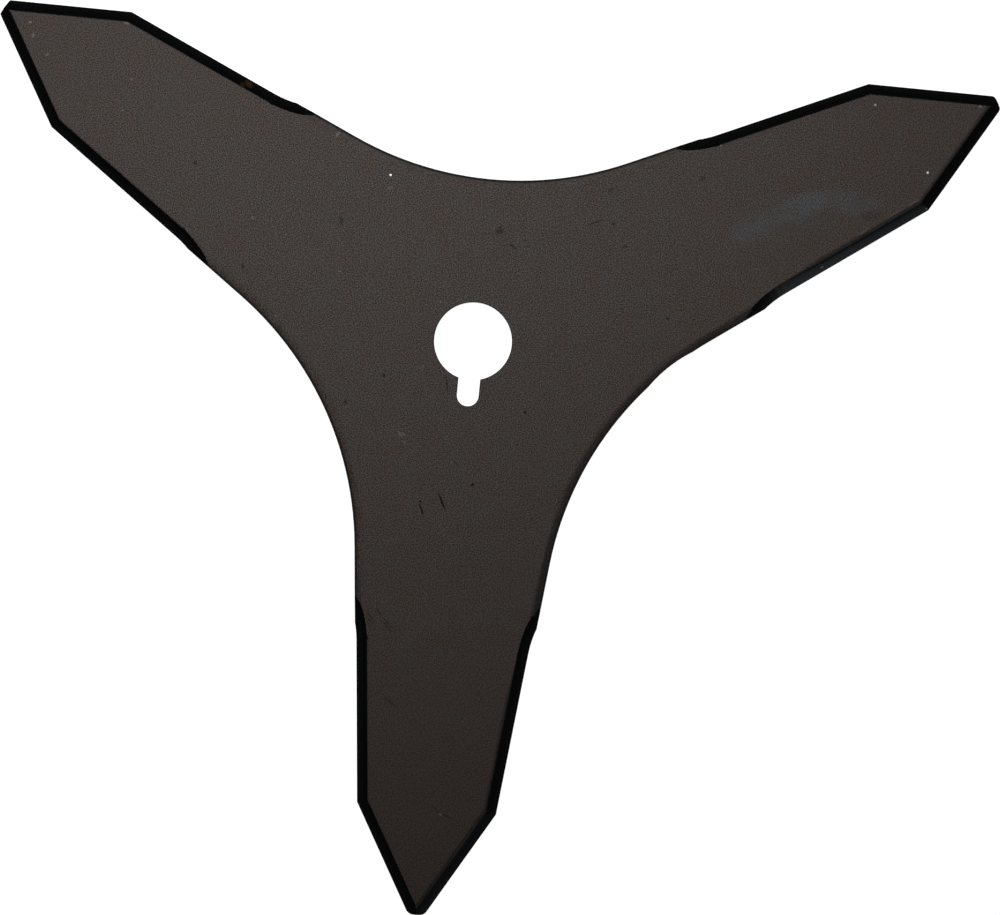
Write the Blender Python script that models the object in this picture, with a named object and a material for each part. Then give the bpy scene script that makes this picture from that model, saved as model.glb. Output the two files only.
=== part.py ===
"""Three-tooth brush cutter blade, one piece of spring steel.

The blank is punched from sheet, which rounds the rim of its upper face, and pierced for
the arbor. Both faces are then ground along the sides and tip edges of every tooth.

Metres, +Z up. The origin is on the bore's axis, halfway through the steel, and the first
tooth, the one that the key slot points along, lies on -Y.
"""
import math
from typing import NamedTuple

import bmesh
import bpy
from mathutils import Matrix, Vector

MM = 0.001

# Punched blank
THICKNESS = 3.0 * MM
BLADE_RADIUS = 150.0 * MM         # bore axis to the blunt end of a tooth
VALLEY_FLOOR_RADIUS = 42.4 * MM   # bore axis to the nearest point between two teeth
VALLEY_ARC_RADIUS = 86.8 * MM     # curve of each valley
SIDE_TAPER = math.radians(5.8)    # side of a tooth against its axis
TIP_ANGLE = math.radians(60.0)    # between the two tip edges of a tooth
TIP_WIDTH = 5.3 * MM              # punched blunt end of a tooth
PUNCH_ROLL_WIDTH = 3.0 * MM       # rim that the punch drew down on the upper face
PUNCH_ROLL_DEPTH = 0.55 * MM

# Arbor hole
SPIGOT_DIAMETER = 20.0 * MM
SPIGOT_CLEARANCE = 0.3 * MM
KEY_SLOT_WIDTH = 5.7 * MM
KEY_SLOT_REACH = 17.0 * MM        # bore axis to the slot's round end

# Ground edges
BEVEL_WIDTH = 2.8 * MM            # seen from above, square to the edge
EDGE_LAND = 0.3 * MM              # flat left at the cutting edge
RUN_OUT_RADIUS = 27.5 * MM        # curve on which the wheel leaves the side

# Dressed hollow in the valley before the second tooth
HOLLOW_ANGLE = math.radians(76.0)  # its middle on the valley's arc, from the tooth's axis
HOLLOW_RADIUS = 36.0 * MM
HOLLOW_DEPTH = 0.45 * MM

# Modelling
FIRST_TOOTH_ANGLE = math.radians(270.0)
VALLEY_STEPS = 26
ROLL_STEPS = 4
BORE_STEPS = 56
SLOT_END_STEPS = 14
RUN_OUT_STEPS = 9
HOLLOW_STEPS = 96
CORNER_STEPS = 4
CUT_OVERRUN = 1.0 * MM            # cutters pass the faces by this
CUT_MARGIN = 6.0 * MM             # cutters reach this far outside the edge
TIP_OVERRUN = 8.0 * MM            # cutters pass the sharp tip by this
MERGE_DISTANCE = 0.001 * MM

# Oil-blackened steel
STEEL_COLOUR = (0.052, 0.045, 0.040, 1.0)
STEEL_METALLIC = 0.35
STEEL_ROUGHNESS = 0.55


class GroundEdge(NamedTuple):
    """How far the hand-guided wheel went in from the punched outline of one edge."""
    side: float
    tip: float
    run_out: float        # bore axis to where the side reaches its full bevel


class Tooth(NamedTuple):
    """One tooth as ground and worn, seen from the bore looking out."""
    left: GroundEdge
    right: GroundEdge
    end: float            # worn off the blunt end
    corners: float        # radius worn on the blunt end's corners


# In order round the blade from the slotted tooth, counter-clockwise
TEETH = (
    Tooth(GroundEdge(0.86 * MM, 0.72 * MM, 79.6 * MM), GroundEdge(0.38 * MM, 0.22 * MM, 80.2 * MM),
          end=0.0, corners=2.0 * MM),
    Tooth(GroundEdge(0.45 * MM, 0.60 * MM, 80.0 * MM), GroundEdge(0.83 * MM, 0.70 * MM, 79.2 * MM),
          end=0.0, corners=1.2 * MM),
    Tooth(GroundEdge(0.37 * MM, 0.43 * MM, 78.8 * MM), GroundEdge(0.76 * MM, 0.60 * MM, 79.6 * MM),
          end=0.3 * MM, corners=0.2 * MM),
)
HOLLOWED_TOOTH = 1

BORE_RADIUS = (SPIGOT_DIAMETER + SPIGOT_CLEARANCE) / 2
HALF_PITCH = math.pi / len(TEETH)
LEFT, RIGHT = 1, -1


class PlanLine(NamedTuple):
    """A straight edge left of a tooth's axis, in the tooth's plan, where X runs outwards."""
    slope: float          # closing angle against the axis
    distance: float       # square from the bore's axis

    @property
    def outward(self):
        return Vector((math.sin(self.slope), math.cos(self.slope)))

    @property
    def along(self):
        return Vector((math.cos(self.slope), -math.sin(self.slope)))

    def at_reach(self, reach):
        """The line's point at this distance out along the tooth's axis."""
        height = (self.distance - reach * math.sin(self.slope)) / math.cos(self.slope)
        return Vector((reach, height))

    def meets(self, other):
        turn = math.sin(self.slope - other.slope)
        return Vector((
            (self.distance * math.cos(other.slope) - other.distance * math.cos(self.slope)) / turn,
            (other.distance * math.sin(self.slope) - self.distance * math.sin(other.slope)) / turn,
        ))

    def moved_in(self, depth):
        return PlanLine(self.slope, self.distance - depth)


def punched_side():
    """The side that runs on from the valley's curve without a corner."""
    centre_distance = (VALLEY_FLOOR_RADIUS + VALLEY_ARC_RADIUS) * math.sin(HALF_PITCH + SIDE_TAPER)
    return PlanLine(SIDE_TAPER, centre_distance - VALLEY_ARC_RADIUS)


def punched_tip():
    """The tip edge, placed so that the two leave a blunt end of the stated width."""
    slope = TIP_ANGLE / 2
    sharp_reach = BLADE_RADIUS + TIP_WIDTH / 2 / math.tan(slope)
    return PlanLine(slope, sharp_reach * math.sin(slope))


def direction(angle):
    return Vector((math.cos(angle), math.sin(angle)))


def valley_point(angle, depth=0.0):
    """A point on the valley left of a tooth, or a depth into the steel behind it. The angle
    is that of the valley's radius there, against the tooth's axis."""
    centre = direction(HALF_PITCH) * (VALLEY_FLOOR_RADIUS + VALLEY_ARC_RADIUS)
    return centre - direction(angle) * (VALLEY_ARC_RADIUS + depth)


def half_tooth(tooth):
    """Punched outline left of a tooth's axis, from the valley's floor to the blunt end."""
    half_steps = VALLEY_STEPS // 2
    sweep = math.pi / 2 - SIDE_TAPER - HALF_PITCH
    points = [valley_point(HALF_PITCH + sweep * step / half_steps) for step in range(half_steps + 1)]
    points.append(punched_side().meets(punched_tip()))
    points.append(punched_tip().at_reach(BLADE_RADIUS - tooth.end))
    return points


def turned(index):
    """Turns a tooth's plan to its place round the bore."""
    return Matrix.Rotation(FIRST_TOOTH_ANGLE + 2 * HALF_PITCH * index, 4, 'Z')


def blank_outline():
    """The whole blank, counter-clockwise. Neighbours share the valley's floor point."""
    outline = []
    for index, tooth in enumerate(TEETH):
        left = half_tooth(tooth)
        right = [Vector((point.x, -point.y)) for point in left]
        outline += [turned(index) @ point.to_3d() for point in right + left[:0:-1]]
    return outline


def arbor_outline():
    """The bore, broken by the key slot that runs out along the first tooth."""
    half_width = KEY_SLOT_WIDTH / 2
    mouth = math.asin(half_width / BORE_RADIUS)
    sweep = 2 * (math.pi - mouth)
    points = []
    for step in range(BORE_STEPS + 1):
        points.append(direction(mouth + sweep * step / BORE_STEPS) * BORE_RADIUS)
    slot_centre = Vector((KEY_SLOT_REACH - half_width, 0.0))
    for step in range(SLOT_END_STEPS + 1):
        points.append(slot_centre + direction(math.pi * (step / SLOT_END_STEPS - 0.5)) * half_width)
    return [turned(0) @ point.to_3d() for point in points]


def prism(outline, height):
    """A plate of this outline, centred on Z = 0."""
    mesh = bmesh.new()
    floor = mesh.faces.new([mesh.verts.new((point.x, point.y, -height / 2)) for point in outline])
    raised = bmesh.ops.extrude_face_region(mesh, geom=[floor])['geom']
    lifted = [item for item in raised if isinstance(item, bmesh.types.BMVert)]
    bmesh.ops.translate(mesh, verts=lifted, vec=(0.0, 0.0, height))
    bmesh.ops.recalc_face_normals(mesh, faces=mesh.faces)
    return mesh


def punched_blank():
    """The plate with its upper rim drawn down. The roll is wider than it is deep, so the
    plate is bevelled while it is stretched along Z and then pressed back to thickness."""
    stretch = PUNCH_ROLL_WIDTH / PUNCH_ROLL_DEPTH
    mesh = prism(blank_outline(), THICKNESS * stretch)
    rim = [edge for edge in mesh.edges if all(vert.co.z > 0.0 for vert in edge.verts)]
    bmesh.ops.bevel(
        mesh, geom=rim, offset=PUNCH_ROLL_WIDTH, segments=ROLL_STEPS,
        profile=0.5, affect='EDGES', material=-1)
    bmesh.ops.scale(mesh, verts=mesh.verts, vec=(1.0, 1.0, 1.0 / stretch))
    return mesh


def wheel_section():
    """The grinding cut across an edge, as inset and height pairs: a V with its point on
    the edge land, open to the outside."""
    slope = (THICKNESS - EDGE_LAND) / 2 / BEVEL_WIDTH
    top = THICKNESS / 2 + CUT_OVERRUN
    mouth = (top - EDGE_LAND / 2) / slope
    upper = [(0.0, EDGE_LAND / 2), (mouth, top), (-CUT_MARGIN, top)]
    lower = [(inset, -height) for inset, height in reversed(upper)]
    return lower + upper


def wheel_path(edge):
    """The ground edge left of a tooth's axis, as plan points, each with the vector that
    carries an inset: in along the run-out's curve, down the side, then along the tip."""
    side = punched_side().moved_in(edge.side)
    tip = punched_tip().moved_in(edge.tip)
    run_out_centre = side.at_reach(edge.run_out) + side.outward * RUN_OUT_RADIUS
    mouth = max(inset for inset, height in wheel_section())
    sweep = math.acos((RUN_OUT_RADIUS - edge.side) / (RUN_OUT_RADIUS + mouth))
    path = []
    for step in range(RUN_OUT_STEPS + 1):
        angle = sweep * (1.0 - step / RUN_OUT_STEPS)
        inward = -side.outward * math.cos(angle) - side.along * math.sin(angle)
        path.append((run_out_centre + inward * RUN_OUT_RADIUS, inward))
    mitre = -(side.outward + tip.outward) / (1.0 + side.outward.dot(tip.outward))
    path.append((side.meets(tip), mitre))
    sharp_point = Vector((tip.distance / math.sin(tip.slope), 0.0))
    path.append((sharp_point + tip.along * TIP_OVERRUN, -tip.outward))
    return path


def wheel_cut(edge):
    """The wheel's section carried along its path, left of a tooth's axis."""
    mesh = bmesh.new()
    rings = []
    for point, carry in wheel_path(edge):
        ring = [mesh.verts.new((*(point + carry * inset), height)) for inset, height in wheel_section()]
        rings.append([mesh.edges.new((a, b)) for a, b in zip(ring, ring[1:] + ring[:1])])
    for ring, following in zip(rings, rings[1:]):
        bmesh.ops.bridge_loops(mesh, edges=ring + following)
    bmesh.ops.holes_fill(mesh, edges=rings[0] + rings[-1], sides=0)
    bmesh.ops.recalc_face_normals(mesh, faces=mesh.faces)
    return mesh


def cutter(name, mesh):
    """A hidden object that a Boolean subtracts."""
    data = bpy.data.meshes.new(name)
    mesh.to_mesh(data)
    mesh.free()
    tool = bpy.data.objects.new(name, data)
    tool.display_type = 'WIRE'
    tool.hide_render = True
    bpy.context.collection.objects.link(tool)
    return tool


def arbor_cutter():
    return cutter('arbor_punch', prism(arbor_outline(), THICKNESS + 2 * CUT_OVERRUN))


def hollow_cutter():
    """An upright wheel that just dips into the valley on the tooth's right."""
    mesh = bmesh.new()
    bmesh.ops.create_cone(
        mesh, cap_ends=True, segments=HOLLOW_STEPS, radius1=HOLLOW_RADIUS, radius2=HOLLOW_RADIUS,
        depth=THICKNESS + 2 * CUT_OVERRUN)
    axis = valley_point(HOLLOW_ANGLE, depth=HOLLOW_DEPTH - HOLLOW_RADIUS)
    bmesh.ops.translate(mesh, verts=mesh.verts, vec=(axis.x, -axis.y, 0.0))
    bmesh.ops.transform(mesh, verts=mesh.verts, matrix=turned(HOLLOWED_TOOTH))
    return cutter('valley_wheel', mesh)


def grinding_cutters():
    cutters = []
    for index, tooth in enumerate(TEETH):
        for hand, edge in ((LEFT, tooth.left), (RIGHT, tooth.right)):
            mesh = wheel_cut(edge)
            bmesh.ops.scale(mesh, verts=mesh.verts, vec=(1.0, hand, 1.0))
            bmesh.ops.transform(mesh, verts=mesh.verts, matrix=turned(index))
            bmesh.ops.recalc_face_normals(mesh, faces=mesh.faces)
            cutters.append(cutter(f'wheel_{index}_{hand}', mesh))
    return cutters


def cut_away(blade, cutters):
    """Subtracts the cutters and keeps the result as the blade's own mesh."""
    for tool in cutters:
        cut = blade.modifiers.new(tool.name, 'BOOLEAN')
        cut.operation = 'DIFFERENCE'
        cut.object = tool
    bpy.context.view_layer.update()
    evaluated = blade.evaluated_get(bpy.context.evaluated_depsgraph_get())
    finished = bpy.data.meshes.new_from_object(evaluated)
    blade.modifiers.clear()
    blade.data = finished
    for tool in cutters:
        bpy.data.objects.remove(tool)


def wear_tip_corners(blade):
    """Rounds the short upright edges at the blunt end of each tooth."""
    mesh = bmesh.new()
    mesh.from_mesh(blade.data)
    bmesh.ops.remove_doubles(mesh, verts=mesh.verts, dist=MERGE_DISTANCE)
    setback = math.tan((math.pi / 2 - TIP_ANGLE / 2) / 2)
    for index, tooth in enumerate(TEETH):
        outwards = turned(index) @ Vector((1.0, 0.0, 0.0))
        end_reach = BLADE_RADIUS - tooth.end - MERGE_DISTANCE
        corners = [edge for edge in mesh.edges
                   if all(vert.co.dot(outwards) > end_reach for vert in edge.verts)
                   and (edge.verts[0].co - edge.verts[1].co).xy.length < MERGE_DISTANCE]
        bmesh.ops.bevel(
            mesh, geom=corners, offset=tooth.corners * setback, segments=CORNER_STEPS,
            profile=0.5, affect='EDGES', material=-1)
    mesh.to_mesh(blade.data)
    mesh.free()


def blackened_steel():
    material = bpy.data.materials.new('blackened_steel')
    material.use_nodes = True
    shader = material.node_tree.nodes['Principled BSDF']
    shader.inputs['Base Color'].default_value = STEEL_COLOUR
    shader.inputs['Metallic'].default_value = STEEL_METALLIC
    shader.inputs['Roughness'].default_value = STEEL_ROUGHNESS
    return material


def build_blade():
    data = bpy.data.meshes.new('blade')
    blank = punched_blank()
    blank.to_mesh(data)
    blank.free()
    blade = bpy.data.objects.new('blade', data)
    bpy.context.collection.objects.link(blade)
    cut_away(blade, [arbor_cutter(), hollow_cutter()] + grinding_cutters())
    wear_tip_corners(blade)
    blade.data.materials.clear()
    blade.data.materials.append(blackened_steel())
    blade.data.shade_smooth()
    blade.data.set_sharp_from_angle(angle=math.radians(20.0))
    return blade


for leftover in list(bpy.data.objects):
    bpy.data.objects.remove(leftover)
build_blade()
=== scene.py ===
"""Brush cutter blade lying on white paper, seen from above.

The blade is the frame's own solid with its ridges and punched rims softened, in an oil-blackened
coating that stops at the ground edges. Metres, +Z up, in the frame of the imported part.
"""
import math
from functools import reduce
from typing import NamedTuple

import bmesh
import bpy
from mathutils import Matrix, Vector


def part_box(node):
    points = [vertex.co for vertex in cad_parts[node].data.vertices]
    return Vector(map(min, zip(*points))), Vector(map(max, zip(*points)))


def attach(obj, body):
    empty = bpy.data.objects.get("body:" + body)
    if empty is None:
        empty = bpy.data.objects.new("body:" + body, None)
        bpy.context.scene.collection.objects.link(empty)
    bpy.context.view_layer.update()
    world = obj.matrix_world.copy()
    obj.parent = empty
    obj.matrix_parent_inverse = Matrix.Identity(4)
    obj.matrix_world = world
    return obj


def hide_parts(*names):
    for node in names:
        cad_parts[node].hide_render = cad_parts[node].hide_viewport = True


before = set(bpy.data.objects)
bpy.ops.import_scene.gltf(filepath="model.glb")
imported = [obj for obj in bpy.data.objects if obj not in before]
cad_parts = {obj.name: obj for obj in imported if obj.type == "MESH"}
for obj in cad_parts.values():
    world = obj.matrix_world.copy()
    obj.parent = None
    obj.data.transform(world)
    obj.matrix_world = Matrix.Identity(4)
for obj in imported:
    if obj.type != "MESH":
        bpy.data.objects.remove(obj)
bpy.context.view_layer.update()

MM = 0.001
UPRIGHT = Vector((0.0, 0.0, 1.0))

# The picture: the blade lies turned on the paper, under a long lens
LIE_ANGLE = math.radians(5.58)         # picture's right, turned from the blade's +X
PICTURE_WIDTH = 260.4 * MM             # width seen at the blade
PICTURE_CENTRE = Vector((7.03 * MM, -30.26 * MM))  # from the bore, in the picture
LENS = 120.0
SENSOR = 36.0
NEAREST_SEEN = 0.01
FARTHEST_SEEN = 100.0

# Blade
HALF_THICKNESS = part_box("blade")[1].z
FINE_ROUNDING = 0.36 * MM              # of most ridges, where a ground edge meets a face
HOLE_ROUNDING = 0.20 * MM
RIM_ROUNDING = 0.10 * MM               # where the walls meet the faces and the ground edges
LONG_RIDGE = 15.0 * MM
LONG_RIM = 1.0 * MM                    # shorter edges, round the very tips, stay sharp
ROUNDING_STEPS = 4
DRESSED_ROUNDING = 1.1 * MM            # of the ridges that were rubbed down after grinding
DRESSED_STEPS = 4                      # on each side of such a ridge, and along its run-out
DRESSED_SIDES = (math.radians(-75.0), math.radians(0.0))  # which way those ground edges face
HUB_RADIUS = 40.0 * MM                 # edges nearer the axis than this are the bore's
RUN_OUT_RADIUS = 90.0 * MM             # a ridge that starts nearer the axis fades away there
RUN_OUT_LENGTH = 12.0 * MM
TOOTH_LENGTH = 60.0 * MM
MERGE_DISTANCE = 0.15 * MM
CUT_DISTANCE = 0.005 * MM
STRAY_LENGTH = 0.01 * MM               # shorter edges are merged away
FLAT_ANGLE = math.radians(0.3)         # facets closer than this are one face
GROUND_ANGLES = (math.radians(20.0), math.radians(34.0))  # facets that lean between these are ground edges
GROUND_ANGLE = math.radians(25.7)      # of every ground edge, to a fraction of a degree
LEVEL_ANGLE = math.radians(0.8)        # facets this near to a face or a ground edge are shaded flat
RIM_ANGLE = math.radians(40.0)         # walls lean more than this, and rims are sharper
SHARP_ANGLE = math.radians(24.0)       # sharper edges aren't shaded smooth
LEVEL_DISTANCE = 0.3 * MM              # an edge that climbs more than this isn't a rim
COATED, GROUND, SHEARED = range(3)

# Light, placed and aimed in the picture's frame
KEY_PLACE = Vector((-28.0 * MM, 153.0 * MM, 873.0 * MM))
KEY_AIM = Vector((-492.0 * MM, 1500.0 * MM, 0.0))
KEY_SIDE = 0.35
KEY_WATTS = 22.2
CARD_PLACE = Vector((2605.0 * MM, -3832.0 * MM, 3857.0 * MM))  # lights the ground edges at lower right
CARD_AIM = Vector((50.0 * MM, -60.0 * MM, 0.0))  # the strip is aimed there too
CARD_SIDE = 1.26
CARD_WATTS = 1.7
STRIP_PLACE = Vector((1700.0 * MM, -1780.0 * MM, 4390.0 * MM))  # lights the rounds of the dressed ridges
STRIP_SIDE = 0.87
STRIP_WATTS = 1.4
STRIP_COLOUR = (0.80, 1.0, 1.0)
WHITE = (1.0, 1.0, 1.0)
ROOM_COLOUR = (1.0, 1.0, 1.0, 1.0)
ROOM_STRENGTH = 0.03

# Paper
PAPER_COLOUR = (0.80, 0.80, 0.80, 1.0)
PAPER_RADIUS = 16.0
PAPER_SIDES = 96
PAPER_RIM_RADIUS = 20.0
PAPER_RIM_HEIGHT = 3.5
PAPER_GLOW_SHARE = 0.80
PAPER_GLOW = 1.20
PAPER_GAP = 0.02 * MM

# Coating. A pair is a ramp: where it starts and where it is full
COATING_RED = (0.0222, 0.0130, 0.0087, 1.0)        # its clouds run from this
COATING_BROWN = (0.0194, 0.0160, 0.0127, 1.0)      # to this
COATING_RUSTY = (0.0310, 0.0125, 0.0075, 1.0)
COATING_WIPED = (0.0257, 0.0277, 0.0306, 1.0)
COATING_PITTED = (0.0030, 0.0022, 0.0018, 1.0)
COATING_RUBBED = (0.125, 0.110, 0.095, 1.0)
# the bare chips' colour, a painted glint that stands in for their shine
COATING_CHIP_GLINT = (0.95, 0.85, 0.74, 1.0)
# painted light: the rims up the picture are paler
COATING_PAINTED_LIT_RIM = (0.045, 0.038, 0.033, 1.0)
COATING_DARKEST = 0.0006
RIM_BLACK = (0.002, 0.002, 0.002, 1.0)
COATING_ROUGHNESS = 0.62
COATING_SPECULAR = 0.119
PIT_ROUGHNESS = 0.4                    # added in pits and scratches
RIM_ROUGHNESS = 0.2                    # added along the rims
GRAIN_SIZE = 0.30 * MM
GRAIN_LEVELS = (0.34, 0.66)
GRAIN_CONTRAST = 0.5                   # from its darkest to its palest, as a share of the colour
GRAIN_SHADE = 0.0090                   # how far it also lifts or lowers the colour, at most
GRAIN_GLOSS = 0.16                     # taken off the roughness where it is palest
GRAIN_RELIEF = 0.010 * MM
CLOUD_SIZE = 5.0 * MM
CLOUD_LEVELS = (0.3, 0.7)
SMEAR_CLOUD_SIZE = 3.0 * MM
SMEAR_CLOUD_LEVELS = (0.25, 0.5)
LOWER_TOOTH = (-120.0 * MM, -40.0 * MM)  # up the picture, from near the tip of the lower tooth
LOWER_GRAIN = 0.8                      # shares that are left of the grain and clouds near that tip
LOWER_CLOUDS = 0.3
PAINTED_SHADE_WAY = (0.7, -0.7, 0.0)             # to the picture's lower right, where the rims get painted shade
PAINTED_SHADE_REACH = (15.0 * MM, 40.0 * MM)
HUB_REACH = (22.0 * MM, 18.0 * MM)     # from the axis; the rims round the bore are darkened with the painted shade
PAINTED_LIGHT_REACH = (25.0 * MM, 45.0 * MM)  # up the picture, where the rims get painted light
PAINTED_LIGHT_DROP = (0.0, 0.19 * MM)       # drops are measured from the flat of the nearer face
PAINTED_LIGHT_SHARE = 0.5
# painted shade: rims towards the picture's lower right and round the bore go towards black
PAINTED_SHADE_DROP = (-0.005 * MM, 0.085 * MM)
PAINTED_SHADE_SHARE = 0.68
RIM_DROP = (0.15 * MM, 0.30 * MM)
RIM_SHARE = 0.92

# Ground edges
GROUND_INNER = (0.050, 0.053, 0.056, 1.0)
GROUND_OUTER = (0.085, 0.092, 0.095, 1.0)
GROUND_STREAKED = (0.010, 0.010, 0.012, 1.0)
GROUND_BROWN = (0.0190, 0.0115, 0.0058, 1.0)
GROUND_RUBBED = (0.140, 0.125, 0.110, 1.0)
GROUND_ROUGHNESS = 0.2
GROUND_DROP = (0.2 * MM, 1.2 * MM)
STREAK_SIZE = 0.5 * MM
STREAK_LEVEL = 0.3                     # noise below this leaves no streak
# painted shade: the outermost land of the ground edges goes near black
LAND_SHADE_DROP = (1.24 * MM, 1.32 * MM)
LAND_SHADE_SHARE = 0.9
BROWN_GAIN = 3.0                       # the colour is full where the chip is only a third matt

# Sheared walls
WALL_RIM = (0.0024, 0.0022, 0.0020, 1.0)
WALL_DARK = (0.010, 0.009, 0.008, 1.0)
WALL_LIGHT = (0.042, 0.038, 0.035, 1.0)
WALL_ROUGHNESS = 0.62
WALL_GLOSS = 0.14                      # taken off the roughness away from the rims
WALL_SPECULAR = 0.2
WALL_DROP = (0.60 * MM, 0.95 * MM)
TEAR_SIZE = 0.35 * MM
TEAR_STRETCH = 0.12                    # heights are scaled by this, so that the tears are long and upright
TEAR_LEVELS = (0.3, 0.7)
TEAR_RELIEF = 0.03 * MM

# Marks
MARK_FADE = (1.3, 0.5)                 # of a mark's half-size, from where it ends to where it is full
MARK_REACH = 2.0 * MM                  # down from the upper face, so the underside stays clean
SHAKE_SIZE = 0.6 * MM
RAGGEDNESS = 0.35 * MM                 # how far an outline is shaken each way, at most


class Mark(NamedTuple):
    """A worn or dirty spot: millimetres from the bore in the picture, its turn in degrees."""
    right: float
    up: float
    length: float
    width: float
    turn: float
    strength: float


# Scratches across the coated face
SCRATCHES = (
    Mark(-8.1, -41.7, 4.9, 0.5, -68, 1.0),
    Mark(-13.4, -43.8, 3.4, 0.45, -69, 0.95),
    Mark(31.5, 30.7, 4.2, 0.4, 21, 0.42),
    Mark(-6.8, -11.0, 4.9, 0.3, -83, 0.7),
    Mark(-26.7, -71.5, 4.4, 0.42, -54, 0.42),
    Mark(-26.7, -72.7, 2.6, 0.42, -48, 0.40),
    Mark(-22.3, -74.3, 4.4, 0.42, -53, 0.38),
    Mark(-22.2, -73.2, 3.9, 0.42, -50, 0.32),
    Mark(-24.5, -70.4, 3.1, 0.4, -50, 0.38),
    Mark(-21.5, -93.9, 5.5, 0.42, -39, 0.45),
    Mark(-9.6, -121.8, 3.1, 0.42, -38, 0.42),
    Mark(-6.8, -123.5, 3.1, 0.42, -27, 0.42),
)

# Pits, dents and faint dark places
PITS = (
    Mark(-13.7, -41.6, 0.8, 0.6, 0, 0.8),
    Mark(6.9, 28.5, 2.2, 1.2, 10, 0.4),
    Mark(7.1, 29.6, 0.75, 0.55, 0, 0.55),
    Mark(59.7, 42.2, 1.8, 1.3, 19, 0.22),
    Mark(35.8, 39.3, 1.5, 1.1, 50, 0.25),
    Mark(-34.2, 31.4, 2.6, 0.9, 88, 0.3),
    Mark(-59.8, 19.5, 1.6, 0.8, 85, 0.4),
    Mark(13.6, -18.5, 1.0, 0.5, 29, 0.75),
    Mark(-0.1, -37.3, 1.2, 0.7, 35, 1.0),
    Mark(36.5, 30.4, 0.7, 0.6, 45, 1.0),
    Mark(-23.2, -8.9, 0.8, 0.7, 0, 0.7),
    Mark(39.6, 24.5, 1.5, 0.7, -8, 0.28),
    Mark(50.6, 5.9, 0.7, 0.5, 0, 0.65),
    Mark(10.3, 24.6, 2.6, 0.7, -36, 0.42),
    Mark(-72.2, 46.3, 1.2, 0.7, 90, 0.45),
    Mark(-33.1, -15.8, 0.9, 0.9, 0, 0.5),
    Mark(1.2, -91.8, 1.6, 0.8, -36, 0.3),
    Mark(-4.4, -31.9, 1.3, 0.7, -68, 0.15),
    Mark(103.4, 32.6, 6.5, 3.2, 10, 0.12),
)

# Pale flecks and short rubs
PALE_MARKS = (
    Mark(-19.0, -24.1, 2.2, 0.5, -51, 0.30),
    Mark(-17.9, -24.2, 1.4, 0.5, -40, 0.28),
    Mark(-17.7, -26.3, 1.3, 0.4, -68, 0.26),
    Mark(-110.7, 74.6, 1.3, 0.6, 63, 0.26),
    Mark(-114.3, 79.5, 1.3, 0.7, 59, 0.35),
    Mark(-13.2, -6.8, 1.4, 0.5, 45, 0.25),
    Mark(-51.3, 6.5, 1.0, 0.5, -32, 0.30),
    Mark(-34.6, 18.2, 0.9, 0.6, 0, 0.25),
    Mark(-88.7, 68.0, 0.9, 0.6, 90, 0.30),
    Mark(-57.2, 32.1, 0.9, 0.6, 90, 0.40),
    Mark(-90.1, 82.6, 1.8, 0.5, -20, 0.40),
    Mark(-8.5, 10.2, 0.6, 0.6, 0, 0.45),
    Mark(-21.4, 39.9, 2.1, 0.5, 30, 0.22),
    Mark(-8.5, -123.1, 0.7, 0.6, 0, 0.35),
    Mark(86.6, 58.3, 2.3, 0.5, 19, 0.15),
    Mark(131.9, 60.9, 1.1, 0.9, 0, 0.40),
    Mark(-91.1, 60.0, 0.6, 0.6, 0, 0.60),
    Mark(-35.2, 53.7, 1.9, 0.8, 60, 0.42),
)

# Chips down to bare metal, their shine painted in as a pale colour
BRIGHT_CHIPS = (
    Mark(-21.4, 43.2, 0.62, 0.54, 0, 1.0),
    Mark(118.2, 43.8, 0.6, 0.55, 0, 0.65),
    Mark(104.6, 61.4, 0.7, 0.6, 0, 0.18),
    Mark(-115.1, 82.9, 0.7, 0.6, 0, 0.09),
)

# Rubbed streaks along the dressed ridge of the right tooth
RUBBED_STREAKS = (
    Mark(114.6, 36.0, 3.9, 0.4, 30, 0.30),
    Mark(109.9, 33.3, 5.2, 0.4, 30, 0.22),
    Mark(101.5, 28.4, 4.4, 0.4, 30, 0.22),
)

# Where the coating turned reddish
RED_PATCHES = (
    Mark(-55.8, 60.6, 3.1, 1.8, 20, 0.5),
    Mark(-53.0, 60.3, 2.1, 1.3, 0, 0.4),
    Mark(-59.4, 62.8, 3.6, 1.6, -30, 0.5),
    Mark(-28.0, -68.9, 3.1, 1.0, -75, 0.7),
    Mark(-27.6, -74.7, 2.3, 0.8, -85, 0.5),
    Mark(-60.7, 15.7, 4.2, 2.6, 30, 0.3),
    Mark(-21.1, -28.6, 4.2, 2.6, 0, 0.25),
    Mark(-5.2, 41.2, 5.2, 1.6, 0, 0.25),
    Mark(-58.6, 51.4, 3.6, 2.3, 0, 0.25),
)

# A wiped, bluish smear across the right tooth
SMEAR = (
    Mark(73.0, 29.5, 14.0, 7.0, 25, 0.65),
    Mark(85.0, 34.8, 19.0, 6.5, 22, 0.85),
    Mark(97.8, 36.0, 17.0, 6.5, -8, 0.5),
)

# A brown chip in a ground edge of the left tooth
BROWN_CHIP = (
    Mark(-58.3, 67.0, 2.6, 1.7, -55, 0.9),
    Mark(-59.9, 66.6, 1.7, 1.0, -80, 0.5),
)

# Pale nicks in the ground edges of the right tooth
PALE_NICKS = (
    Mark(90.9, 19.3, 0.9, 0.6, 30, 0.5),
    Mark(118.0, 34.5, 0.8, 0.6, 30, 0.5),
    Mark(106.2, 66.5, 0.8, 0.5, 0, 0.4),
)


def laid(point):
    """Turns a point of the picture's frame, right and up from the bore, into the blade's."""
    return Matrix.Rotation(LIE_ANGLE, 3, 'Z') @ Vector(point).to_3d()


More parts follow.
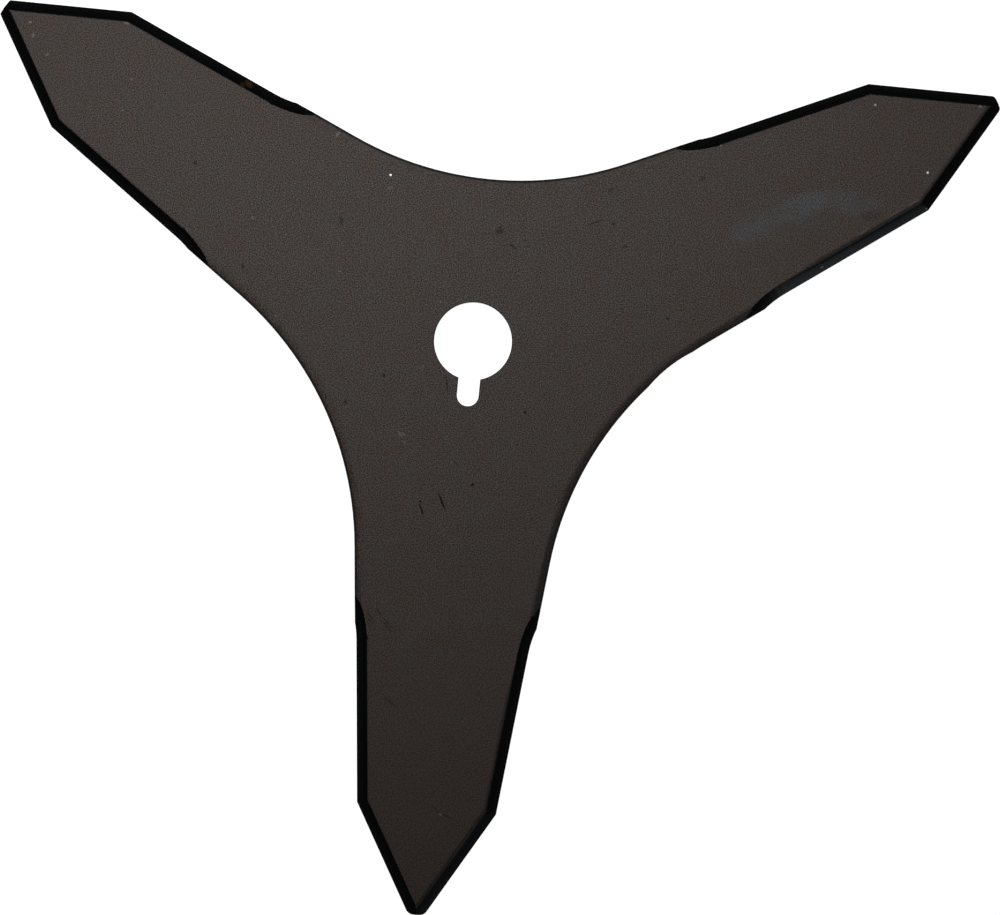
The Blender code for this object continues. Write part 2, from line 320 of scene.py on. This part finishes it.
class Value:
    """What a node's socket gives. Where that is a number, plain arithmetic works on it."""

    def __init__(self, nodes, socket):
        self.nodes = nodes
        self.socket = socket

    def maths(self, operation, *terms):
        return self.nodes.add('ShaderNodeMath', 'Value', {'operation': operation}, dict(enumerate(terms)))

    def __add__(self, other):
        return self.maths('ADD', self, other)

    def __sub__(self, other):
        return self.maths('SUBTRACT', self, other)

    def __rsub__(self, other):
        return self.maths('SUBTRACT', other, self)

    def __mul__(self, other):
        return self.maths('MULTIPLY', self, other)

    __radd__ = __add__
    __rmul__ = __mul__

    def ramp(self, low, high):
        """0 at low, 1 at high and flat beyond them, with a soft climb or fall between."""
        return self.nodes.add(
            'ShaderNodeMapRange', 'Result', {'interpolation_type': 'SMOOTHSTEP'},
            {'Value': self, 'From Min': low, 'From Max': high})

    def at_least(self, other):
        return self.maths('MAXIMUM', self, other)

    def at_most(self, other):
        return self.maths('MINIMUM', self, other)

    def swung(self, share):
        """The same pattern about 0.5, with its swing scaled by the share."""
        return 0.5 + (self - 0.5) * share


class Nodes:
    """The nodes of one material."""

    def __init__(self, name):
        self.material = bpy.data.materials.new(name)
        self.material.use_nodes = True
        self.tree = self.material.node_tree
        self.tree.nodes.clear()

    def feed(self, socket, value):
        """Links a value to a socket, or sets the socket to a constant."""
        if isinstance(value, Value):
            self.tree.links.new(value.socket, socket)
        else:
            socket.default_value = value

    def add(self, kind, output=0, settings=None, inputs=None):
        """A node of any type. Its settings are set first, then its sockets' values or links."""
        node = self.tree.nodes.new(kind)
        for name, value in (settings or {}).items():
            setattr(node, name, value)
        for name, value in (inputs or {}).items():
            self.feed(node.inputs[name], value)
        return Value(self, node.outputs[output]) if node.outputs else None

    def mix(self, share, first, second):
        """A colour that goes from the first to the second with the share."""
        node = self.tree.nodes.new('ShaderNodeMix')
        node.data_type = 'RGBA'
        shown = {socket.name: socket for socket in node.inputs if socket.enabled}
        for name, value in (('Factor', share), ('A', first), ('B', second)):
            self.feed(shown[name], value)
        return Value(self, next(socket for socket in node.outputs if socket.enabled))

    def vector_maths(self, operation, *terms):
        return self.add('ShaderNodeVectorMath', 'Vector', {'operation': operation}, dict(enumerate(terms)))

    def measure(self, operation, *terms):
        """A number that vector maths gives."""
        return self.add('ShaderNodeVectorMath', 'Value', {'operation': operation}, dict(enumerate(terms)))

    def noise(self, place, size, detail=2.0, roughness=0.5, seed=0.0, output='Fac'):
        """Cloudy noise about 0.5, with features of the given size."""
        return self.add(
            'ShaderNodeTexNoise', output, {'noise_dimensions': '4D'},
            {'Vector': place, 'W': seed, 'Scale': 1.0 / size, 'Detail': detail, 'Roughness': roughness})

    def relief(self, height, distance):
        """A surface that rises by the distance where the height is 1."""
        return self.add('ShaderNodeBump', 'Normal', inputs={
            'Strength': 1.0, 'Distance': distance, 'Height': height})

    def finish(self, surface):
        self.add('ShaderNodeOutputMaterial', inputs={'Surface': surface})
        return self.material


def picture_place(nodes):
    """Position on the blade as the picture shows it, right and up from the bore."""
    own = nodes.add('ShaderNodeTexCoord', 'Object')
    return nodes.add(
        'ShaderNodeMapping', 'Vector', {'vector_type': 'POINT'},
        {'Vector': own, 'Rotation': (0.0, 0.0, -LIE_ANGLE)})


def drop(nodes):
    """How far a point lies below the flat of the nearer face."""
    own = nodes.add('ShaderNodeTexCoord', 'Object')
    height = nodes.add('ShaderNodeSeparateXYZ', 'Z', inputs={'Vector': own})
    return HALF_THICKNESS - height.maths('ABSOLUTE', height)


def ragged(nodes, place):
    """The same place, shaken a little, so that the outlines of marks aren't smooth."""
    shake = nodes.noise(place, SHAKE_SIZE, detail=1.0, seed=9.0, output='Color')
    centred = nodes.vector_maths('SUBTRACT', shake, (0.5, 0.5, 0.5))
    return nodes.vector_maths('MULTIPLY_ADD', centred, (2.0 * RAGGEDNESS,) * 3, place)


def marked(nodes, place, marks):
    """How strongly the marks of one kind show at a place."""
    shown = []
    for mark in marks:
        within = nodes.add('ShaderNodeMapping', 'Vector', {'vector_type': 'TEXTURE'}, {
            'Vector': place,
            'Location': (mark.right * MM, mark.up * MM, HALF_THICKNESS),
            'Rotation': (0.0, 0.0, math.radians(mark.turn)),
            'Scale': (mark.length * MM / 2.0, mark.width * MM / 2.0, MARK_REACH)})
        shown.append(nodes.measure('LENGTH', within).ramp(*MARK_FADE) * mark.strength)
    return reduce(Value.at_least, shown)


def sound_coating(nodes, place, outline, grain, inner):
    """Colour of the coating with its clouds, reddish places, smear and grain."""
    clouds = nodes.noise(place, CLOUD_SIZE, detail=5.0, roughness=0.6, seed=4.0).ramp(*CLOUD_LEVELS)
    clouds = clouds.swung(LOWER_CLOUDS + inner * (1.0 - LOWER_CLOUDS))
    colour = nodes.mix(clouds, COATING_RED, COATING_BROWN)
    colour = nodes.mix(marked(nodes, outline, RED_PATCHES), colour, COATING_RUSTY)
    patches = nodes.noise(place, SMEAR_CLOUD_SIZE, detail=3.0, seed=6.0).ramp(*SMEAR_CLOUD_LEVELS)
    colour = nodes.mix(marked(nodes, outline, SMEAR) * patches, colour, COATING_WIPED)
    speckled = nodes.vector_maths(
        'MULTIPLY_ADD', colour, grain * GRAIN_CONTRAST + (1.0 - GRAIN_CONTRAST / 2.0),
        (grain - 0.5) * (2.0 * GRAIN_SHADE))
    return nodes.vector_maths('MAXIMUM', speckled, (COATING_DARKEST,) * 3)


def worn_coating(nodes, place, outline, colour, dark):
    """The coating's colour with its scratches and pits, pale rubs, and bare chips whose shine is painted
    in as colour.
    """
    colour = nodes.mix(dark, colour, COATING_PITTED)
    pale = marked(nodes, outline, PALE_MARKS).at_least(marked(nodes, outline, RUBBED_STREAKS))
    colour = nodes.mix(pale, colour, COATING_RUBBED)
    # bare chips, with their glint painted in as colour
    return nodes.mix(marked(nodes, place, BRIGHT_CHIPS), colour, COATING_CHIP_GLINT)


def rimmed_coating(nodes, place, up, below, rim, colour):
    """The coating's colour, with painted light on the rims up the picture, painted shade on the rims
    towards the picture's lower right and round the bore, and near black at the walls.
    """
    shaded_side = nodes.measure('DOT_PRODUCT', place, PAINTED_SHADE_WAY).ramp(*PAINTED_SHADE_REACH)
    hub = nodes.measure('LENGTH', place).ramp(*HUB_REACH)
    # painted light on the rims up the picture, kept off the painted shade
    painted_light = below.ramp(*PAINTED_LIGHT_DROP) * up.ramp(*PAINTED_LIGHT_REACH) * (1.0 - shaded_side)
    colour = nodes.mix(painted_light * PAINTED_LIGHT_SHARE, colour, COATING_PAINTED_LIT_RIM)
    # painted shade on the rims towards the picture's lower right and round the bore
    painted_shade = below.ramp(*PAINTED_SHADE_DROP) * shaded_side.at_least(hub)
    return nodes.mix((painted_shade * PAINTED_SHADE_SHARE).at_least(rim * RIM_SHARE), colour, RIM_BLACK)


def coated_steel():
    """Blackening over shot-blasted steel: fine grain, faint clouds, marks, near black on the rims."""
    nodes = Nodes('coated_steel')
    place = picture_place(nodes)
    outline = ragged(nodes, place)
    up = nodes.add('ShaderNodeSeparateXYZ', 'Y', inputs={'Vector': place})
    inner = up.ramp(*LOWER_TOOTH)
    grain = nodes.noise(place, GRAIN_SIZE, detail=1.0, roughness=0.6).ramp(*GRAIN_LEVELS)
    grain = grain.swung(LOWER_GRAIN + inner * (1.0 - LOWER_GRAIN))
    dark = marked(nodes, outline, PITS).at_least(marked(nodes, place, SCRATCHES))
    below = drop(nodes)
    rim = below.ramp(*RIM_DROP)
    colour = sound_coating(nodes, place, outline, grain, inner)
    colour = worn_coating(nodes, place, outline, colour, dark)
    colour = rimmed_coating(nodes, place, up, below, rim, colour)
    rough = COATING_ROUGHNESS - grain * GRAIN_GLOSS + rim * RIM_ROUGHNESS + dark * PIT_ROUGHNESS
    return nodes.finish(nodes.add('ShaderNodeBsdfPrincipled', 'BSDF', inputs={
        'Base Color': colour, 'Roughness': rough.at_most(1.0), 'Specular IOR Level': COATING_SPECULAR,
        'Normal': nodes.relief(grain, GRAIN_RELIEF)}))


def ground_steel():
    """Ground steel without the coating, near black and lighter towards the cutting edge, with painted
    shade at its outermost land.
    """
    nodes = Nodes('ground_steel')
    place = picture_place(nodes)
    outline = ragged(nodes, place)
    below = drop(nodes)
    colour = nodes.mix(below.ramp(*GROUND_DROP), GROUND_INNER, GROUND_OUTER)
    streaks = nodes.noise(place, STREAK_SIZE, seed=2.0)
    colour = nodes.mix((streaks - STREAK_LEVEL).at_least(0.0), colour, GROUND_STREAKED)
    # painted shade along the outermost land
    colour = nodes.mix(below.ramp(*LAND_SHADE_DROP) * LAND_SHADE_SHARE, colour, RIM_BLACK)
    brown = marked(nodes, outline, BROWN_CHIP)
    colour = nodes.mix((brown * BROWN_GAIN).at_most(1.0), colour, GROUND_BROWN)
    pale = marked(nodes, outline, PALE_NICKS).at_least(marked(nodes, outline, RUBBED_STREAKS))
    colour = nodes.mix(pale, colour, GROUND_RUBBED)
    matt = brown.at_least(pale)
    return nodes.finish(nodes.add('ShaderNodeBsdfPrincipled', 'BSDF', inputs={
        'Base Color': colour, 'Metallic': 1.0 - matt, 'Roughness': GROUND_ROUGHNESS,
        'Specular IOR Level': 0.0}))


def sheared_steel():
    """The punch's cut through the thickness, black at the rims, with fine upright tears."""
    nodes = Nodes('sheared_steel')
    own = nodes.add('ShaderNodeTexCoord', 'Object')
    stretched = nodes.add('ShaderNodeMapping', 'Vector', {'vector_type': 'POINT'}, {
        'Vector': own, 'Scale': (1.0, 1.0, TEAR_STRETCH)})
    tears = nodes.noise(stretched, TEAR_SIZE, detail=3.0, roughness=0.65, seed=7.0).ramp(*TEAR_LEVELS)
    depth = drop(nodes).ramp(*WALL_DROP)
    colour = nodes.mix(depth, WALL_RIM, nodes.mix(tears, WALL_DARK, WALL_LIGHT))
    return nodes.finish(nodes.add('ShaderNodeBsdfPrincipled', 'BSDF', inputs={
        'Base Color': colour, 'Roughness': WALL_ROUGHNESS - depth * WALL_GLOSS,
        'Specular IOR Level': WALL_SPECULAR, 'Normal': nodes.relief(tears, TEAR_RELIEF)}))


def white_paper():
    """Paper that the camera and mirrors see at full white, and that still takes the shadow."""
    nodes = Nodes('white_paper')
    matt = nodes.add('ShaderNodeBsdfDiffuse', 'BSDF', inputs={'Color': PAPER_COLOUR})
    glow = nodes.add('ShaderNodeEmission', 'Emission', inputs={'Strength': PAPER_GLOW})
    rays = ('Is Camera Ray', 'Is Glossy Ray', 'Is Transmission Ray')
    seen = reduce(Value.at_least, [nodes.add('ShaderNodeLightPath', ray) for ray in rays])
    return nodes.finish(nodes.add('ShaderNodeMixShader', 'Shader', inputs={
        0: seen * PAPER_GLOW_SHARE, 1: matt, 2: glow}))


def steepness(face):
    """Angle between a face and the blade's plane."""
    lean = face.normal.angle(UPRIGHT)
    return min(lean, math.pi - lean)


def finish_of(face):
    """Ground edges and sheared walls are told by how steep they are."""
    if steepness(face) > RIM_ANGLE:
        return SHEARED
    return GROUND if GROUND_ANGLES[0] < steepness(face) < GROUND_ANGLES[1] else COATED


def sides(edge):
    """The two faces at an edge, the coated one first where there is one."""
    return sorted(edge.link_faces, key=lambda face: face.material_index)


def is_long_ridge(edge):
    """Whether a ground edge meets a face here, apart from its short run-out."""
    finishes = tuple(face.material_index for face in sides(edge))
    return finishes == (COATED, GROUND) and edge.calc_length() > LONG_RIDGE


def is_dressed(edge):
    """Whether a ridge is on a side that was rubbed down."""
    outwards = sides(edge)[1].normal
    return DRESSED_SIDES[0] < math.atan2(outwards.y, outwards.x) < DRESSED_SIDES[1]


def is_rim(edge):
    """Whether a wall meets a face or a ground edge here."""
    climb = abs(edge.verts[0].co.z - edge.verts[1].co.z)
    return edge.calc_face_angle() > RIM_ANGLE and climb < LEVEL_DISTANCE


def in_hub(edge):
    return edge.verts[0].co.xy.length < HUB_RADIUS


class Ridge(NamedTuple):
    """A straight ridge seen from above, with the slope of the ground edge beyond it."""
    start: Vector      # its end nearer the axis
    along: Vector
    outwards: Vector
    length: float
    slope: float
    runs_out: bool     # whether it fades away at its start

    def passes(self, face):
        """Whether a face is on the ridge's own tooth, and not short of its run-out."""
        place = face.calc_center_median().xy.to_3d() - self.start
        return place.length < TOOTH_LENGTH and (place.dot(self.along) > 0.0 or not self.runs_out)

    def width(self, run):
        """How far the round reaches each side of the ridge, at a distance along it."""
        if not -DRESSED_ROUNDING < run < self.length + DRESSED_ROUNDING:
            return 0.0
        grown = min(max(run / RUN_OUT_LENGTH, 0.0), 1.0) if self.runs_out else 1.0
        return DRESSED_ROUNDING * grown

    def drop(self, place):
        """How far the round lies below the flat of the face: a parabola that meets both slopes."""
        width = self.width((place - self.start).dot(self.along))
        out = (place - self.start).dot(self.outwards)
        return self.slope * (out + width) ** 2 / (4.0 * width) if abs(out) < width else 0.0


def dressed_ridges(mesh):
    """The long ridges of the upper face that were rubbed down."""
    ridges = []
    for edge in mesh.edges:
        if edge.verts[0].co.z > 0.0 and is_long_ridge(edge) and is_dressed(edge):
            ends = [vert.co.xy.to_3d() for vert in edge.verts]
            start, end = sorted(ends, key=lambda place: place.length)
            ground = sides(edge)[1]
            ridges.append(Ridge(
                start, (end - start).normalized(), ground.normal.xy.normalized().to_3d(),
                (end - start).length, math.tan(steepness(ground)), start.length < RUN_OUT_RADIUS))
    return ridges


def cut(mesh, faces, place, normal):
    """Cuts a line across some faces, on an upright plane."""
    touched = set(faces)
    edges = [edge for edge in mesh.edges if not touched.isdisjoint(edge.link_faces)]
    verts = [vert for vert in mesh.verts if not touched.isdisjoint(vert.link_faces)]
    bmesh.ops.bisect_plane(
        mesh, geom=verts + edges + faces, dist=CUT_DISTANCE, plane_co=place, plane_no=normal)


def dress(mesh, ridges):
    """Cuts lines across and along the ridges, and lowers them to a round."""
    for ridge in ridges:
        if ridge.runs_out:
            for step in range(DRESSED_STEPS + 1):
                across = ridge.start + ridge.along * RUN_OUT_LENGTH * step / DRESSED_STEPS
                cut(mesh, list(mesh.faces), across, ridge.along)
    for ridge in ridges:
        for step in range(-DRESSED_STEPS, DRESSED_STEPS + 1):
            beside = ridge.start + ridge.outwards * DRESSED_ROUNDING * step / DRESSED_STEPS
            cut(mesh, [face for face in mesh.faces if ridge.passes(face)], beside, ridge.outwards)
    bmesh.ops.dissolve_degenerate(mesh, dist=STRAY_LENGTH, edges=mesh.edges)
    for vert in mesh.verts:
        place = vert.co.xy.to_3d()
        lowest = max(ridge.drop(place) for ridge in ridges)
        if lowest > HALF_THICKNESS - abs(vert.co.z):
            vert.co.z = math.copysign(HALF_THICKNESS - lowest, vert.co.z)


def round_off(mesh, edges, width):
    bmesh.ops.bevel(
        mesh, geom=edges, offset=width, offset_type='OFFSET', affect='EDGES', segments=ROUNDING_STEPS,
        profile=0.5, material=-1, clamp_overlap=False)
    mesh.normal_update()


def shade(mesh):
    """Shades the rounds smooth, and the faces and ground edges flat."""
    for face in mesh.faces:
        slant = steepness(face)
        face.smooth = slant > LEVEL_ANGLE and abs(slant - GROUND_ANGLE) > LEVEL_ANGLE
    for edge in mesh.edges:
        edge.smooth = edge.calc_face_angle() < SHARP_ANGLE


def blade_mesh():
    """The frame's solid with its facets merged into faces, and its ridges and rims softened."""
    mesh = bmesh.new()
    mesh.from_mesh(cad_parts["blade"].data)
    bmesh.ops.remove_doubles(mesh, verts=mesh.verts, dist=MERGE_DISTANCE)
    bmesh.ops.dissolve_limit(
        mesh, angle_limit=FLAT_ANGLE, verts=mesh.verts, edges=mesh.edges, use_dissolve_boundaries=False)
    for face in mesh.faces:
        face.material_index = finish_of(face)
    ridges = dressed_ridges(mesh)
    round_off(mesh, [edge for edge in mesh.edges if is_rim(edge) and in_hub(edge)], HOLE_ROUNDING)
    round_off(
        mesh, [edge for edge in mesh.edges if is_long_ridge(edge) and not is_dressed(edge)], FINE_ROUNDING)
    round_off(mesh, [
        edge for edge in mesh.edges
        if is_rim(edge) and not in_hub(edge) and edge.calc_length() > LONG_RIM], RIM_ROUNDING)
    dress(mesh, ridges)
    mesh.normal_update()
    shade(mesh)
    return mesh


def placed(mesh, name):
    """Makes an object at the origin from a finished mesh."""
    data = bpy.data.meshes.new(name)
    mesh.to_mesh(data)
    mesh.free()
    piece = bpy.data.objects.new(name, data)
    bpy.context.collection.objects.link(piece)
    return piece


def add_blade():
    piece = placed(blade_mesh(), 'ground_blade')
    for finish in (coated_steel(), ground_steel(), sheared_steel()):
        piece.data.materials.append(finish)
    split = piece.modifiers.new('even_triangles', 'TRIANGULATE')
    split.quad_method = 'BEAUTY'
    split.ngon_method = 'BEAUTY'
    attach(piece, "root")
    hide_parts("blade")


def add_paper():
    """A wide sheet under the blade, with its rim turned up like a studio sweep."""
    mesh = bmesh.new()
    bmesh.ops.create_circle(mesh, cap_ends=True, segments=PAPER_SIDES, radius=PAPER_RADIUS)
    raised = bmesh.ops.extrude_edge_only(mesh, edges=list(mesh.edges))['geom']
    outer = [item for item in raised if isinstance(item, bmesh.types.BMVert)]
    grow = PAPER_RIM_RADIUS / PAPER_RADIUS
    bmesh.ops.scale(mesh, verts=outer, vec=(grow, grow, 1.0))
    bmesh.ops.translate(mesh, verts=outer, vec=(0.0, 0.0, PAPER_RIM_HEIGHT))
    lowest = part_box("blade")[0].z
    bmesh.ops.translate(mesh, verts=mesh.verts, vec=(0.0, 0.0, lowest - PAPER_GAP))
    bmesh.ops.recalc_face_normals(mesh, faces=mesh.faces)
    paper = placed(mesh, 'paper')
    paper.data.materials.append(white_paper())


def add_lamp(name, place, aim, side, watts, colour=WHITE):
    """A square soft box, placed and aimed in the picture's frame."""
    data = bpy.data.lights.new(name, 'AREA')
    data.shape = 'SQUARE'
    data.size = side
    data.energy = watts
    data.color = colour
    lamp = bpy.data.objects.new(name, data)
    lamp.location = laid(place)
    lamp.rotation_mode = 'QUATERNION'
    lamp.rotation_quaternion = laid(aim - place).to_track_quat('-Z', 'Y')
    lamp.visible_camera = False
    bpy.context.collection.objects.link(lamp)


def add_world():
    world = bpy.data.worlds.new('dim_room')
    world.use_nodes = True
    room = world.node_tree.nodes['Background']
    room.inputs['Color'].default_value = ROOM_COLOUR
    room.inputs['Strength'].default_value = ROOM_STRENGTH
    bpy.context.scene.world = world


def add_camera():
    """A long lens straight above the picture's centre, turned as the picture is."""
    data = bpy.data.cameras.new('camera')
    data.lens = LENS
    data.sensor_width = SENSOR
    data.clip_start = NEAREST_SEEN
    data.clip_end = FARTHEST_SEEN
    camera = bpy.data.objects.new('camera', data)
    height = PICTURE_WIDTH * LENS / SENSOR
    camera.location = laid((*PICTURE_CENTRE, height))
    camera.rotation_euler = (0.0, 0.0, LIE_ANGLE)
    bpy.context.collection.objects.link(camera)
    bpy.context.scene.camera = camera


add_blade()
add_paper()
add_lamp('key', KEY_PLACE, KEY_AIM, KEY_SIDE, KEY_WATTS)
add_lamp('card', CARD_PLACE, CARD_AIM, CARD_SIDE, CARD_WATTS)
add_lamp('strip', STRIP_PLACE, CARD_AIM, STRIP_SIDE, STRIP_WATTS, STRIP_COLOUR)
add_world()
add_camera()
bpy.context.scene.view_settings.view_transform = 'Standard'
